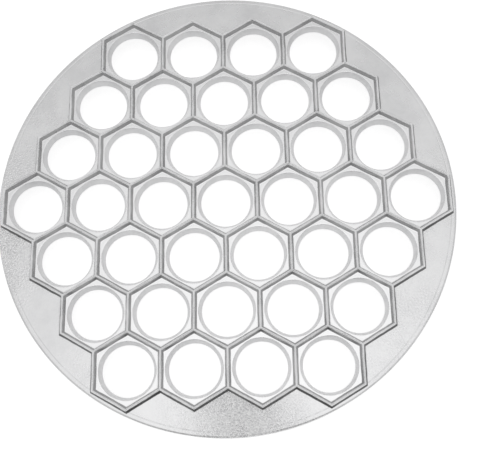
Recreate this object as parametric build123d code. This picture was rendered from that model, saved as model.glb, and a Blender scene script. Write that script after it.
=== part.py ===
"""Pelmeni mold: one round aluminium casting with 37 hexagonal cells, all sizes in millimetres.

The casting lies flat, working side up.  Sharp-crested ridges in a honeycomb cut the dough into
hexagons, each cell has a flared round hole that the filled dough sags through, and a low rim under
the outer edge holds the plate above the table.  The casting is divided along its own features into
zones that meet face to face: 37 cells, 6 lobes of the outer flange, and the foot rim.

Origin: centre of the rim's foot, on the table.  +Z up, +X along a row of cells.
"""

from build123d import *
import math
import os

# Cells.
CELL_PITCH = 33.3          # flat to flat of a hexagon, centre of ridge to centre of ridge
CELLS_PER_SIDE = 4         # cells along each side of the hexagonal array: 4 gives 37 cells

# Plate and holes.
FLOOR_THICKNESS = 4.0      # floor of the cells and the flange
HOLE_LEDGE = 0.8           # flat land left between a ridge's foot and the mouth of the hole
HOLE_FLARE = 1.5           # how much wider the mouth's radius is than the throat's
THROAT_LENGTH = 0.6        # straight stretch of the hole at the bottom

# Cutting ridges.
RIDGE_HEIGHT = 3.0         # crest above the floor
RIDGE_FOOT_WIDTH = 2.7
RIDGE_CREST_WIDTH = 0.8

# Outer edge and foot.
EDGE_MARGIN = 1.7          # from the outermost ridge corner's foot to the disc's edge
EDGE_BEVEL_WIDTH = 1.2     # bevel round the flange's top edge, measured inwards
EDGE_BEVEL_DROP = 0.35     # the same bevel, measured downwards
RIM_HEIGHT = 8.0           # clearance under the plate for the filled dough
RIM_WIDTH = 2.6            # wall of the rim where it meets the plate
RIM_DRAFT = 0.6            # how much thinner the wall is at the foot
RIM_FOOT_ROUND = 0.5

# Worked out from the sizes above.
PLATE_BOTTOM = RIM_HEIGHT
FLOOR_LEVEL = PLATE_BOTTOM + FLOOR_THICKNESS
CREST_LEVEL = FLOOR_LEVEL + RIDGE_HEIGHT
HALF_PITCH = CELL_PITCH / 2
CELL_SIDE = CELL_PITCH / math.sqrt(3)
ROW_STEP = CELL_PITCH * math.sqrt(3) / 2
MOUTH_RADIUS = HALF_PITCH - RIDGE_FOOT_WIDTH / 2 - HOLE_LEDGE
THROAT_RADIUS = MOUTH_RADIUS - HOLE_FLARE
ARRAY_REACH = math.hypot((CELLS_PER_SIDE - 0.5) * CELL_PITCH, CELL_SIDE / 2)
DISC_RADIUS = ARRAY_REACH + RIDGE_FOOT_WIDTH / 2 + EDGE_MARGIN
LOBES = 6
LOBE_ANGLE = 360 / LOBES


def cell_rows():
    """Rows of cell centres, from the far row (+Y) to the near one, each row from -X to +X."""
    rows = []
    for step in range(CELLS_PER_SIDE - 1, -CELLS_PER_SIDE, -1):
        count = 2 * CELLS_PER_SIDE - 1 - abs(step)
        y = step * ROW_STEP
        rows.append([((i - (count - 1) / 2) * CELL_PITCH, y) for i in range(count)])
    return rows


def hexagon(half_width, level):
    """A horizontal hexagon with flat sides facing +X and -X, half_width from its centre."""
    corner_radius = half_width / math.cos(math.pi / 6)
    corners = [
        (corner_radius * math.cos(math.radians(30 + 60 * i)),
         corner_radius * math.sin(math.radians(30 + 60 * i)))
        for i in range(6)
    ]
    return Pos(0, 0, level) * make_face(Polyline(*corners, close=True))


def hole_tool():
    """The space of one hole: straight throat, then the flare up to its mouth."""
    throat_top = PLATE_BOTTOM + THROAT_LENGTH
    profile = Polyline(
        (0, 0, PLATE_BOTTOM),
        (THROAT_RADIUS, 0, PLATE_BOTTOM),
        (THROAT_RADIUS, 0, throat_top),
        (MOUTH_RADIUS, 0, FLOOR_LEVEL),
        (0, 0, FLOOR_LEVEL),
        close=True,
    )
    return revolve(make_face(profile), Axis.Z)


def cell():
    """One cell at the origin: its floor with the hole, and the inner half of the six ridges."""
    block = extrude(hexagon(HALF_PITCH, PLATE_BOTTOM), CREST_LEVEL - PLATE_BOTTOM)
    pocket = loft([
        hexagon(HALF_PITCH - RIDGE_FOOT_WIDTH / 2, FLOOR_LEVEL),
        hexagon(HALF_PITCH - RIDGE_CREST_WIDTH / 2, CREST_LEVEL),
    ], ruled=True)
    return block - pocket - hole_tool()


def array_outline():
    """Corners of the zigzag round the whole honeycomb, in order: those that under 3 cells share."""
    shared = {}
    for x, y in (centre for row in cell_rows() for centre in row):
        for i in range(6):
            angle = math.radians(30 + 60 * i)
            corner = (x + CELL_SIDE * math.cos(angle), y + CELL_SIDE * math.sin(angle))
            key = (round(corner[0] / HALF_PITCH), round(2 * corner[1] / CELL_SIDE))
            shared.setdefault(key, []).append(corner)
    outer = [corners[0] for corners in shared.values() if len(corners) < 3]
    return sorted(outer, key=lambda c: math.atan2(c[1], c[0]))


def flange_disc():
    """The whole plate as a solid disc with its bevelled top edge."""
    profile = Polyline(
        (0, 0, PLATE_BOTTOM),
        (DISC_RADIUS, 0, PLATE_BOTTOM),
        (DISC_RADIUS, 0, FLOOR_LEVEL - EDGE_BEVEL_DROP),
        (DISC_RADIUS - EDGE_BEVEL_WIDTH, 0, FLOOR_LEVEL),
        (0, 0, FLOOR_LEVEL),
        close=True,
    )
    return revolve(make_face(profile), Axis.Z)


def outer_half_ridges(outline):
    """The outer half of the ridges that bound the honeycomb, filled inside."""
    draft = math.degrees(math.atan2((RIDGE_FOOT_WIDTH - RIDGE_CREST_WIDTH) / 2, RIDGE_HEIGHT))
    foot = offset(outline, RIDGE_FOOT_WIDTH / 2, kind=Kind.INTERSECTION)
    return extrude(Pos(0, 0, FLOOR_LEVEL) * foot, RIDGE_HEIGHT, taper=draft)


def flange_lobe():
    """One sixth of the flange, from the corner cell on +X round to the next corner cell."""
    outline = make_face(Polyline(*array_outline(), close=True))
    flange = flange_disc() + outer_half_ridges(outline)
    flange -= extrude(Pos(0, 0, PLATE_BOTTOM) * outline, CREST_LEVEL - PLATE_BOTTOM)
    reach = 2 * DISC_RADIUS
    sector = make_face(Polyline(
        (0, 0),
        (reach, 0),
        (reach * math.cos(math.radians(LOBE_ANGLE)), reach * math.sin(math.radians(LOBE_ANGLE))),
        close=True,
    ))
    return flange & extrude(Pos(0, 0, PLATE_BOTTOM) * sector, CREST_LEVEL - PLATE_BOTTOM)


def foot_rim():
    """The ring under the plate's edge that the mold stands on."""
    profile = make_face(Polyline(
        (DISC_RADIUS - RIM_WIDTH, 0, PLATE_BOTTOM),
        (DISC_RADIUS - RIM_WIDTH + RIM_DRAFT, 0, 0),
        (DISC_RADIUS, 0, 0),
        (DISC_RADIUS, 0, PLATE_BOTTOM),
        close=True,
    ))
    ring = revolve(profile, Axis.Z)
    foot_edges = ring.edges().filter_by_position(Axis.Z, 0, 0)
    return fillet(foot_edges, RIM_FOOT_ROUND)


def write(name, shape):
    shape.label = name
    export_step(shape, f"parts/{name}.step")
    print(f"{name}: {shape.volume / 1000:.2f} cm3")


def main():
    os.makedirs("parts", exist_ok=True)
    tile = cell()
    for r, row in enumerate(cell_rows(), start=1):
        for c, (x, y) in enumerate(row, start=1):
            write(f"cell_{r}_{c}", Pos(x, y, 0) * tile)
    lobe = flange_lobe()
    for i in range(LOBES):
        write(f"flange_lobe_{i + 1}", Rot(0, 0, i * LOBE_ANGLE) * lobe)
    write("foot_rim", foot_rim())
    print(f"disc diameter {2 * DISC_RADIUS:.2f}, height {CREST_LEVEL:.2f}")
    print(f"hole throat {2 * THROAT_RADIUS:.2f}, mouth {2 * MOUTH_RADIUS:.2f}")


main()
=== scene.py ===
"""Looks of the pelmeni mold: one continuous sand-cast aluminium casting on a pale floor.

Everything is in metres, in the frame of the CAD model: +Z up, origin on the table under the centre
of the disc.  The pitch of the cells, the levels and the disc's radius are read from the frame, and
the smaller sizes of the profile are named below.
"""

import math
from itertools import product

import bpy
from mathutils import Matrix, Vector, noise


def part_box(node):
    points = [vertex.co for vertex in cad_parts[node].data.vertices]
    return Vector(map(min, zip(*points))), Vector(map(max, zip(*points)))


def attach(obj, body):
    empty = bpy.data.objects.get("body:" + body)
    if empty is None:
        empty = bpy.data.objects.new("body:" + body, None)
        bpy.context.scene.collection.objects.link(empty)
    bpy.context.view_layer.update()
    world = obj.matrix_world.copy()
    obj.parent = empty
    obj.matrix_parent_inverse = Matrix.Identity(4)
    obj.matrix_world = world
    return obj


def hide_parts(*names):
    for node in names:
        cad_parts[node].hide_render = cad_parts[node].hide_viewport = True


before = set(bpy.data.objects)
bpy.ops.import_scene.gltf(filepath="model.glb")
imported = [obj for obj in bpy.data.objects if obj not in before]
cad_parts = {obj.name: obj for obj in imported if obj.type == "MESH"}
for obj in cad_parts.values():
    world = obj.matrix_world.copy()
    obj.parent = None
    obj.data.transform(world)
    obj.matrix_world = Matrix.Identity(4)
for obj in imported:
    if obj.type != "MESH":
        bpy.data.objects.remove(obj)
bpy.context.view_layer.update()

MM = 0.001

# Sizes that follow from the frame.
cell_low, cell_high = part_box("cell_4_4")
rim_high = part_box("foot_rim")[1]
PITCH = cell_high[0] - cell_low[0]
PLATE_BOTTOM = cell_low[2]
CREST = cell_high[2]
DISC_RADIUS = min(rim_high[0], rim_high[1])
HALF_PITCH = PITCH / 2
CELL_SIDE = PITCH / math.sqrt(3)
ROW_STEP = PITCH * math.sqrt(3) / 2

# Profile of a cell.
CELLS_PER_SIDE = 4
FLOOR_THICKNESS = 4.0 * MM
FLOOR = PLATE_BOTTOM + FLOOR_THICKNESS
RIDGE_FOOT = 2.7 * MM
RIDGE_CREST = 0.8 * MM
THROAT_RADIUS = 13.0 * MM
THROAT_LENGTH = 0.6 * MM
THROAT_ROUND = 0.20 * MM
MOUTH_RADIUS = 14.5 * MM
MOUTH_ROUND = 0.20 * MM
FOOT_FILLET = 0.20 * MM
CREST_ROUND = 1.5 * MM
CREST_STEPS = 6

# Profile of the disc's edge.
EDGE_BEVEL = 1.0 * MM
EDGE_DROP = 0.20 * MM
BEVEL_ROUND = 0.15 * MM
EDGE_ROUND = 0.60 * MM
RIM_WIDTH = 2.6 * MM
RIM_DRAFT = 0.6 * MM
RIM_FILLET = 0.4 * MM
FOOT_ROUND = 0.5 * MM

# Length of a leg that only gives a corner its direction.
LEG = 2.0 * MM

# How fine the mesh is.
STEPS_PER_SIDE = 10
FLANGE_ROWS = 20
CURVE_STEPS = 4
THIRDS = (0.33, 0.67)

# Unevenness left by the sand and the file: its depths, and the scales of its noise per metre.
RIDGE_WANDER = 0.12 * MM
WANDER_SCALES = (110, 480)
CREST_WEAR = 0.18 * MM
WEAR_SCALE = 260
FLANGE_WAVE = 0.03 * MM
WAVE_SCALE = 90

# Seed of the ridges' wander, so that each run gives the same casting; 0 would follow the clock.
WANDER_SEED = 1

# The unevenness starts this far in from the disc's edge, and is full at the second distance.
TRUE_EDGE = (0.6 * MM, 3 * MM)

# Scales per metre of the noise in the metal, and how the drawing marks are stretched along Z.
MOTTLE_SCALE = 60
GRAIN_SCALE = 1150
PATCH_SCALE = 17
STREAK_SCALE = 900
STREAK_STRETCH = (1, 1, 0.06)

# How much blue the metal's grey has over red and green, in its dark and its light parts.
DARK_TINT = 1.01
LIGHT_TINT = 1.005

# Places of the flange where the sand's grain is coarsest.
SANDY_PLACES = ((-115 * MM, -12 * MM, FLOOR), (6 * MM, -110 * MM, FLOOR))
SANDY_REACH = 44 * MM
SANDY_GAIN = 1.6

# The faint sunken line in the flange over the rim's inner wall, its depth a share of the grain's.
SINK_RADIUS = DISC_RADIUS - RIM_WIDTH
SINK_WIDTH = 0.35 * MM
SINK_DEPTH = 0.2
SINK_LEVELS = (FLOOR - 0.6 * MM, FLOOR - 0.3 * MM)

# The floor: half its size, its paint by plain light and as the camera sees it, and the glow that
# turns it white, as the camera sees it and as the metal mirrors it.
FLOOR_REACH = 40.0
FLOOR_PAINT = 0.8
FLOOR_PAINT_SEEN = 0.45
FLOOR_GLOW_SEEN = 0.80
FLOOR_GLOW_MIRRORED = 0.32

# The studio's light by height, from the horizon to overhead: (Z of the direction, level).
STUDIO_LEVELS = ((0.0, 0.96), (0.3, 0.82), (0.5, 0.64), (0.7, 0.57), (0.866, 0.67), (0.951, 0.93),
                 (0.985, 1.12))

# The dark patch of the studio: its direction, the cosines between which it sets in, its level.
PATCH_TOWARDS = (0, -0.707, 0.707)
PATCH_EDGES = (0.88, 0.98)
PATCH_LEVEL = 0.10

# The photograph's view: turns in degrees about X, Y and Z, and the place in pitches over the lands.
CAMERA_TURNS = ((-15.79, "X"), (-1.76, "Y"), (1.36, "Z"))
CAMERA_PLACE = (0.646, -3.759, 11.342)
CAMERA_LENS = 54.7
CAMERA_SENSOR = 36
CAMERA_CLIP = 0.01

# Zones of the surface, each with its own finish.
SKIN, HOLE, LAND, RIDGE, TOP, OUTER = range(6)


def rounded(before, corner, after, radius, end_radius=None, steps=CURVE_STEPS):
    """A profile corner replaced by a curve that leaves each leg at radius from the corner."""
    corner = Vector(corner)
    start = corner + (Vector(before) - corner).normalized() * radius
    end = corner + (Vector(after) - corner).normalized() * (end_radius or radius)
    points = []
    for i in range(steps + 1):
        t = i / steps
        points.append(tuple((1 - t) ** 2 * start + 2 * t * (1 - t) * corner + t ** 2 * end))
    return points


def cell_centres():
    """Centres of the cells, row by row from the far side."""
    centres = []
    for step in range(CELLS_PER_SIDE - 1, -CELLS_PER_SIDE, -1):
        count = 2 * CELLS_PER_SIDE - 1 - abs(step)
        for i in range(count):
            centres.append(((i - (count - 1) / 2) * PITCH, step * ROW_STEP))
    return centres


def zoned(points, zone):
    """Profile points, each with the zone of the surface that leads up to it."""
    return [(across, up, zone) for across, up in points]


def ridge_profile():
    """Half a ridge, from foot to middle of the crest: (distance from the middle, height, zone)."""
    foot = (RIDGE_FOOT / 2, FLOOR)
    land = (RIDGE_FOOT / 2 + LEG, FLOOR)
    shoulder = (RIDGE_CREST / 2, CREST)
    middle = (0.0, CREST)
    fillet = rounded(land, foot, shoulder, FOOT_FILLET)
    points = zoned(fillet[:3], LAND) + zoned(fillet[3:], RIDGE)
    crest = rounded(foot, shoulder, middle, CREST_ROUND, RIDGE_CREST / 2, CREST_STEPS)
    points += zoned(crest[:3], RIDGE) + zoned(crest[3:], TOP)
    return points


def hole_profile():
    """From the underside up through the hole to its mouth: (radius, height, zone)."""
    under = (THROAT_RADIUS + LEG, PLATE_BOTTOM)
    lip = (THROAT_RADIUS, PLATE_BOTTOM)
    throat = (THROAT_RADIUS, PLATE_BOTTOM + THROAT_LENGTH)
    mouth = (MOUTH_RADIUS, FLOOR)
    land = (MOUTH_RADIUS + LEG, FLOOR)
    points = zoned(rounded(under, lip, throat, THROAT_ROUND), SKIN)
    points += zoned(rounded(lip, throat, mouth, THROAT_ROUND), HOLE)
    brim = rounded(throat, mouth, land, MOUTH_ROUND)
    points += zoned(brim[:3], HOLE) + zoned(brim[3:], LAND)
    return points


class Casting:
    """Vertices merged by place, and quads between rings of them."""

    def __init__(self):
        self.places = {}
        self.points = []
        self.faces = []
        self.zones = []

    def vertex(self, x, y, z):
        """The number of the vertex at this place, to the nearest micrometre or the next one."""
        across, along, level = round(x * 1e6), round(y * 1e6), round(z * 1e6)
        for i, j in product((0, -1, 1), repeat=2):
            number = self.places.get((across + i, along + j, level))
            if number is not None:
                return number
        self.places[across, along, level] = len(self.points)
        self.points.append((x, y, z))
        return len(self.points) - 1

    def strip(self, rings):
        """Quads between neighbouring rings: (vertex numbers anticlockwise, zone up to the ring)."""
        for (inner, _), (outer, zone) in zip(rings, rings[1:]):
            for j in range(len(inner)):
                k = (j + 1) % len(inner)
                face = []
                for corner in (inner[j], outer[j], outer[k], inner[k]):
                    if corner not in face:
                        face.append(corner)
                if len(face) > 2:
                    self.faces.append(face)
                    self.zones.append(zone)


def side_steps():
    """Angles from the middle of one side of a hexagon, corner to corner, without the last."""
    return [math.radians(-30 + 60 * i / STEPS_PER_SIDE) for i in range(STEPS_PER_SIDE)]


def add_cell(casting, cx, cy):
    """One cell, from the underside's hexagon in to the hole, up it, and out to the crest."""
    rays = []
    for side in range(6):
        for offset in side_steps():
            angle = math.radians(60 * side) + offset
            rays.append((math.cos(angle), math.sin(angle), 1 / math.cos(offset)))

    def hexagon(across, z):
        return [casting.vertex(cx + c * across * reach, cy + s * across * reach, z)
                for c, s, reach in rays]

    def circle(radius, z):
        return [casting.vertex(cx + c * radius, cy + s * radius, z) for c, s, _ in rays]

    def between(radius, across, t, z):
        ring = []
        for c, s, reach in rays:
            d = radius * (1 - t) + across * reach * t
            ring.append(casting.vertex(cx + c * d, cy + s * d, z))
        return ring

    hole = hole_profile()
    ridge = ridge_profile()
    land_radius = hole[-1][0]
    land_across = HALF_PITCH - ridge[0][0]
    rings = [(hexagon(HALF_PITCH, PLATE_BOTTOM), SKIN)]
    rings.append((between(hole[0][0], HALF_PITCH, 0.5, PLATE_BOTTOM), SKIN))
    rings += [(circle(radius, z), zone) for radius, z, zone in hole]
    rings += [(between(land_radius, land_across, t, FLOOR), LAND) for t in THIRDS]
    rings += [(hexagon(HALF_PITCH - d, z), zone) for d, z, zone in ridge]
    casting.strip(rings)


def outline_corners():
    """Corners of the zigzag round the honeycomb, anticlockwise: those that under 3 cells share."""
    shared = {}
    for x, y in cell_centres():
        for i in range(6):
            angle = math.radians(30 + 60 * i)
            corner = (x + CELL_SIDE * math.cos(angle), y + CELL_SIDE * math.sin(angle))
            key = (round(corner[0] / HALF_PITCH), round(2 * corner[1] / CELL_SIDE))
            shared.setdefault(key, []).append(corner)
    outer = [Vector(corners[0]) for corners in shared.values() if len(corners) < 3]
    return sorted(outer, key=lambda c: math.atan2(c.y, c.x))


def outline_at(distance):
    """The zigzag moved outwards by a distance, with the steps of the cells along each side."""
    corners = outline_corners()
    count = len(corners)
    moved = []
    for i, corner in enumerate(corners):
        before = (corner - corners[i - 1]).normalized()
        after = (corners[(i + 1) % count] - corner).normalized()
        normal_before = Vector((before.y, -before.x))
        normal_after = Vector((after.y, -after.x))
        mitre = (normal_before + normal_after) / (1 + normal_before.dot(normal_after))
        moved.append(corner + mitre * distance)
    points = []
    for i in range(count):
        start, end = moved[i], moved[(i + 1) % count]
        for offset in side_steps():
            share = 0.5 + math.tan(offset) / (2 * math.tan(math.radians(30)))
            points.append(start.lerp(end, share))
    return points


def edge_profile():
    """The disc's edge, the rim and the corner under the plate: (radius, height)."""
    radius = DISC_RADIUS
    bevel_in = (radius - EDGE_BEVEL, FLOOR)
    bevel_out = (radius, FLOOR - EDGE_DROP)
    foot_out = (radius, 0.0)
    foot_in = (radius - RIM_WIDTH + RIM_DRAFT, 0.0)
    root = (radius - RIM_WIDTH, PLATE_BOTTOM)
    inside = (radius - RIM_WIDTH - LEG, PLATE_BOTTOM)
    points = rounded((0.0, FLOOR), bevel_in, bevel_out, BEVEL_ROUND)
    points += rounded(bevel_in, bevel_out, foot_out, EDGE_ROUND)
    points.append((radius, PLATE_BOTTOM))
    points += rounded(bevel_out, foot_out, foot_in, FOOT_ROUND)
    points += rounded(foot_out, foot_in, root, FOOT_ROUND)
    points += rounded(foot_in, root, inside, RIM_FILLET)
    return points


def add_flange(casting):
    """From the crest of the outermost ridges out over the flange, round the edge and back under."""
    def ring_of(points, z, zone=SKIN):
        return [casting.vertex(p.x, p.y, z) for p in points], zone

    ridge = ridge_profile()
    outwards = {RIDGE: OUTER, LAND: SKIN, TOP: TOP}
    zones = [TOP] + [outwards[zone] for _, _, zone in reversed(ridge)]
    rings = []
    for (distance, z, _), zone in zip(reversed(ridge), zones):
        rings.append(ring_of(outline_at(distance), z, zone))
    foot = outline_at(ridge[0][0])
    edge = edge_profile()
    directions = [p.normalized() for p in foot]
    for row in range(1, FLANGE_ROWS):
        t = row / FLANGE_ROWS
        flange = [p.lerp(e * edge[0][0], t) for p, e in zip(foot, directions)]
        rings.append(ring_of(flange, FLOOR))
    rings += [ring_of([e * radius for e in directions], z) for radius, z in edge]
    under = outline_at(0.0)
    for t in THIRDS:
        inner = [(e * edge[-1][0]).lerp(p, t) for p, e in zip(under, directions)]
        rings.append(ring_of(inner, PLATE_BOTTOM))
    rings.append(ring_of(under, PLATE_BOTTOM))
    casting.strip(rings)


def fade(value, low, high):
    """0 at low, 1 at high, smooth between."""
    t = min(max((value - low) / (high - low), 0.0), 1.0)
    return t * t * (3 - 2 * t)


def roughened(point):
    """A vertex of the top side moved as a sand casting is uneven; the foot and edge stay true."""
    p = Vector(point)
    inwards = DISC_RADIUS - math.hypot(p.x, p.y)
    amount = fade(inwards, *TRUE_EDGE) * fade(p.z, PLATE_BOTTOM, FLOOR)
    if amount == 0:
        return p
    broad, fine = (noise.noise_vector(p * scale) for scale in WANDER_SCALES)
    wander = broad * 0.5 + fine * 0.5
    p.x += wander.x * RIDGE_WANDER * 2 * amount
    p.y += wander.y * RIDGE_WANDER * 2 * amount
    raised = fade(point[2], FLOOR, CREST)
    wear = 0.5 + 0.5 * noise.noise(Vector(point) * WEAR_SCALE)
    p.z -= wear * CREST_WEAR * raised * amount
    p.z += noise.noise(Vector(point) * WAVE_SCALE) * FLANGE_WAVE * (1 - raised) * amount
    return p


def build_casting():
    """The whole casting as one closed mesh, with a finish for each zone."""
    noise.seed_set(WANDER_SEED)
    casting = Casting()
    for x, y in cell_centres():
        add_cell(casting, x, y)
    add_flange(casting)
    mesh = bpy.data.meshes.new("mold_casting")
    mesh.from_pydata([roughened(p) for p in casting.points], [], casting.faces)
    mesh.update()
    for polygon, zone in zip(mesh.polygons, casting.zones):
        polygon.use_smooth = True
        polygon.material_index = zone
    # The ridge and outer finishes carry painted shade on the ridges' steep faces.
    for finish in (cast_skin, hole_finish, land_finish, ridge_painted_shade_finish, crest_finish, outer_painted_shade_finish):
        mesh.materials.append(finish())
    piece = bpy.data.objects.new("mold_casting", mesh)
    bpy.context.scene.collection.objects.link(piece)
    return piece


def add_node(tree, kind, inputs, **settings):
    """A shader node with its settings, its inputs given as values or as the outputs they follow."""
    node = tree.nodes.new("ShaderNode" + kind)
    for name, value in settings.items():
        setattr(node, name, value)
    for socket, value in inputs.items():
        if isinstance(value, bpy.types.NodeSocket):
            tree.links.new(value, node.inputs[socket])
        else:
            node.inputs[socket].default_value = value
    return node


def grey(level, blue=1.0):
    """An opaque grey with its blue raised by a factor."""
    return (level, level, level * blue, 1)


def aluminium(name, dark, light, roughness, grain_depth, streaks=0.0, sandy=False):
    """Bare cast aluminium: mottled grey metal with sandy grain and, on drawn faces, streaks.

    dark and light are the two greys of the mottling, roughness its two ends, grain_depth the height
    of the sand's grain in millimetres and streaks that of the marks left by drawing the pattern.
    A sandy surface is grained and speckled most round the sandy places and little elsewhere, and
    has the sunken line.
    """
    material = bpy.data.materials.new("cast_aluminium_" + name)
    material.use_nodes = True
    tree = material.node_tree
    shader = tree.nodes["Principled BSDF"]
    shader.inputs["Metallic"].default_value = 1.0
    place = tree.nodes.new("ShaderNodeTexCoord").outputs["Object"]

    def noise_at(vector, scale, detail, gain=0.5):
        inputs = {"Vector": vector, "Scale": scale, "Detail": detail, "Roughness": gain}
        return add_node(tree, "TexNoise", inputs).outputs["Fac"]

    def spread(value, low, high, to_low, to_high):
        inputs = {"Value": value, "From Min": low, "From Max": high, "To Min": to_low,
                  "To Max": to_high}
        return add_node(tree, "MapRange", inputs).outputs["Result"]

    def combine(operation, a, b):
        return add_node(tree, "Math", {0: a, 1: b}, operation=operation).outputs["Value"]

    def vector_math(operation, a, b=None):
        inputs = {0: a} if b is None else {0: a, 1: b}
        return add_node(tree, "VectorMath", inputs, operation=operation).outputs

    mottle = noise_at(place, MOTTLE_SCALE, 4, 0.6)
    grain = noise_at(place, GRAIN_SCALE, 3, 0.65)
    patches = spread(noise_at(place, PATCH_SCALE, 2), 0.44, 0.60, 0.08, 0.45)

    shade = spread(mottle, 0.35, 0.65, 0, 1)
    if sandy:
        for spot in SANDY_PLACES:
            far = vector_math("DISTANCE", place, spot)["Value"]
            patches = combine("ADD", patches, spread(far, 0, SANDY_REACH, SANDY_GAIN, 0))
        specks = combine("MULTIPLY", spread(grain, 0.35, 0.65, -1, 1), patches)
        shade = combine("ADD", shade, specks)
    tones = {"Factor": shade, "A": grey(dark, DARK_TINT), "B": grey(light, LIGHT_TINT)}
    tone = add_node(tree, "Mix", tones, data_type="RGBA", clamp_factor=not sandy,
                    clamp_result=True)
    tree.links.new(tone.outputs["Result"], shader.inputs["Base Color"])
    tree.links.new(spread(mottle, 0.3, 0.7, *roughness), shader.inputs["Roughness"])

    height = combine("MULTIPLY", grain, patches)
    if sandy:
        flat = vector_math("MULTIPLY", place, (1, 1, 0))["Vector"]
        reach = vector_math("LENGTH", flat)["Value"]
        level = add_node(tree, "SeparateXYZ", {"Vector": place}).outputs["Z"]
        falling = spread(reach, SINK_RADIUS - SINK_WIDTH, SINK_RADIUS, 0, 1)
        rising = spread(reach, SINK_RADIUS, SINK_RADIUS + SINK_WIDTH, 1, 0)
        top_only = spread(level, *SINK_LEVELS, 0, -SINK_DEPTH)
        line = combine("MULTIPLY", combine("MULTIPLY", falling, rising), top_only)
        height = combine("ADD", height, line)
    bump = {"Distance": grain_depth * MM, "Height": height}
    normal = add_node(tree, "Bump", bump).outputs["Normal"]
    if streaks:
        drawn = add_node(tree, "Mapping", {"Vector": place, "Scale": STREAK_STRETCH})
        marks = noise_at(drawn.outputs["Vector"], STREAK_SCALE, 2)
        bump = {"Distance": streaks * MM, "Height": marks, "Normal": normal}
        normal = add_node(tree, "Bump", bump).outputs["Normal"]
    tree.links.new(normal, shader.inputs["Normal"])
    return material


def cast_skin():
    """The skin left by the sand: flange, edge, rim and underside."""
    return aluminium("skin", 0.77, 0.86, (0.24, 0.30), 0.25, sandy=True)


def hole_finish():
    """The flared walls of the holes."""
    return aluminium("hole", 0.79, 0.89, (0.32, 0.40), 0.04)


def land_finish():
    """The smooth lands round the holes."""
    return aluminium("land", 0.90, 0.96, (0.24, 0.30), 0.02)


def ridge_painted_shade_finish():
    """The steep faces of the ridges, in dark greys that are painted shade, and streaked where the
    pattern was drawn.
    """
    # The greys 0.35 and 0.50 are painted shade, far darker than the lands' 0.90 and 0.96.
    return aluminium("ridge", 0.35, 0.50, (0.24, 0.32), 0.02, streaks=0.05)


def outer_painted_shade_finish():
    """The outward faces of the outermost ridges, in the darkest painted shade of all."""
    # The greys 0.12 and 0.22 are painted shade, far darker than the metal's own grey.
    return aluminium("outer", 0.12, 0.22, (0.26, 0.34), 0.02, streaks=0.05)


def crest_finish():
    """The crests, lighter than the ridges' faces, which carry painted shade."""
    return aluminium("crest", 0.78, 0.95, (0.24, 0.32), 0.05)


def build_floor():
    """A pale floor that shows white, and still takes the casting's soft shadow."""
    size = FLOOR_REACH
    mesh = bpy.data.meshes.new("floor")
    mesh.from_pydata([(-size, -size, 0), (size, -size, 0), (size, size, 0), (-size, size, 0)],
                     [], [(0, 1, 2, 3)])
    floor = bpy.data.objects.new("floor", mesh)
    bpy.context.scene.collection.objects.link(floor)
    material = bpy.data.materials.new("floor_white")
    material.use_nodes = True
    tree = material.node_tree
    tree.nodes.clear()
    seen_by = tree.nodes.new("ShaderNodeLightPath").outputs
    camera = seen_by["Is Camera Ray"]

    def combine(operation, *values):
        inputs = dict(enumerate(values))
        return add_node(tree, "Math", inputs, operation=operation).outputs["Value"]

    mirrored = combine("MAXIMUM", seen_by["Is Glossy Ray"], seen_by["Is Transmission Ray"])
    dimmed = combine("MULTIPLY", mirrored, FLOOR_GLOW_MIRRORED)
    strength = combine("MULTIPLY_ADD", camera, FLOOR_GLOW_SEEN, dimmed)
    glow = add_node(tree, "Emission", {"Color": grey(1), "Strength": strength})
    paints = {"Factor": camera, "A": grey(FLOOR_PAINT), "B": grey(FLOOR_PAINT_SEEN)}
    paint = add_node(tree, "Mix", paints, data_type="RGBA")
    lit = add_node(tree, "BsdfDiffuse", {"Color": paint.outputs["Result"]})
    both = add_node(tree, "AddShader", {0: lit.outputs["BSDF"], 1: glow.outputs["Emission"]})
    add_node(tree, "OutputMaterial", {"Surface": both.outputs["Shader"]})
    mesh.materials.append(material)


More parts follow.
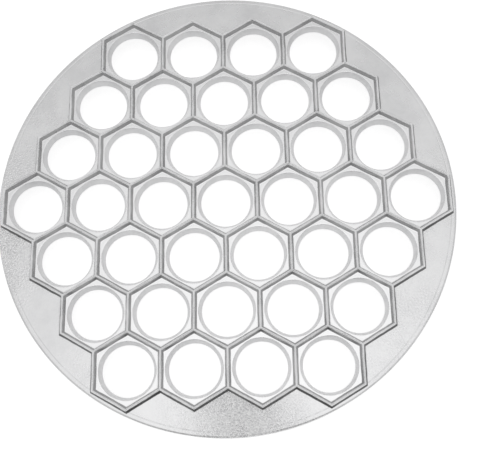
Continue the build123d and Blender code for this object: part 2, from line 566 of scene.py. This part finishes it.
def build_light():
    """A soft studio: bright overhead, pale walls, and a dark patch above the near side."""
    world = bpy.data.worlds.new("studio")
    bpy.context.scene.world = world
    world.use_nodes = True
    tree = world.node_tree
    background = tree.nodes["Background"]
    direction = tree.nodes.new("ShaderNodeTexCoord").outputs["Generated"]
    height = add_node(tree, "SeparateXYZ", {"Vector": direction}).outputs["Z"]
    studio = add_node(tree, "ValToRGB", {"Fac": height})
    ramp = studio.color_ramp
    ramp.interpolation = "EASE"
    (lowest, low_level), *between, (highest, high_level) = STUDIO_LEVELS
    ramp.elements[0].position = lowest
    ramp.elements[0].color = grey(low_level)
    ramp.elements[1].position = highest
    ramp.elements[1].color = grey(high_level)
    for position, level in between:
        ramp.elements.new(position).color = grey(level)
    facing = {0: direction, 1: PATCH_TOWARDS}
    towards = add_node(tree, "VectorMath", facing, operation="DOT_PRODUCT").outputs["Value"]
    edges = {"Value": towards, "From Min": PATCH_EDGES[0], "From Max": PATCH_EDGES[1],
             "To Min": 1.0, "To Max": PATCH_LEVEL}
    patch = add_node(tree, "MapRange", edges, interpolation_type="SMOOTHSTEP").outputs["Result"]
    shaded = {0: studio.outputs["Color"], "Scale": patch}
    light = add_node(tree, "VectorMath", shaded, operation="SCALE").outputs["Vector"]
    tree.links.new(light, background.inputs["Color"])
    background.inputs["Strength"].default_value = 1.0


def build_camera():
    """The photograph's view: close above the near edge, looking a little back over the disc."""
    turn = Matrix.Identity(3)
    for degrees, axis in CAMERA_TURNS:
        turn = turn @ Matrix.Rotation(math.radians(degrees), 3, axis)
    place = Vector(CAMERA_PLACE) * PITCH + Vector((0, 0, FLOOR))
    data = bpy.data.cameras.new("camera")
    data.sensor_width = CAMERA_SENSOR
    data.lens = CAMERA_LENS
    data.clip_start = CAMERA_CLIP
    camera = bpy.data.objects.new("camera", data)
    camera.matrix_world = Matrix.Translation(place) @ turn.transposed().to_4x4()
    bpy.context.scene.collection.objects.link(camera)
    bpy.context.scene.camera = camera


mold = build_casting()
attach(mold, "root")
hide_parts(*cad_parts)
build_floor()
build_light()
build_camera()
bpy.context.scene.view_settings.view_transform = "Standard"
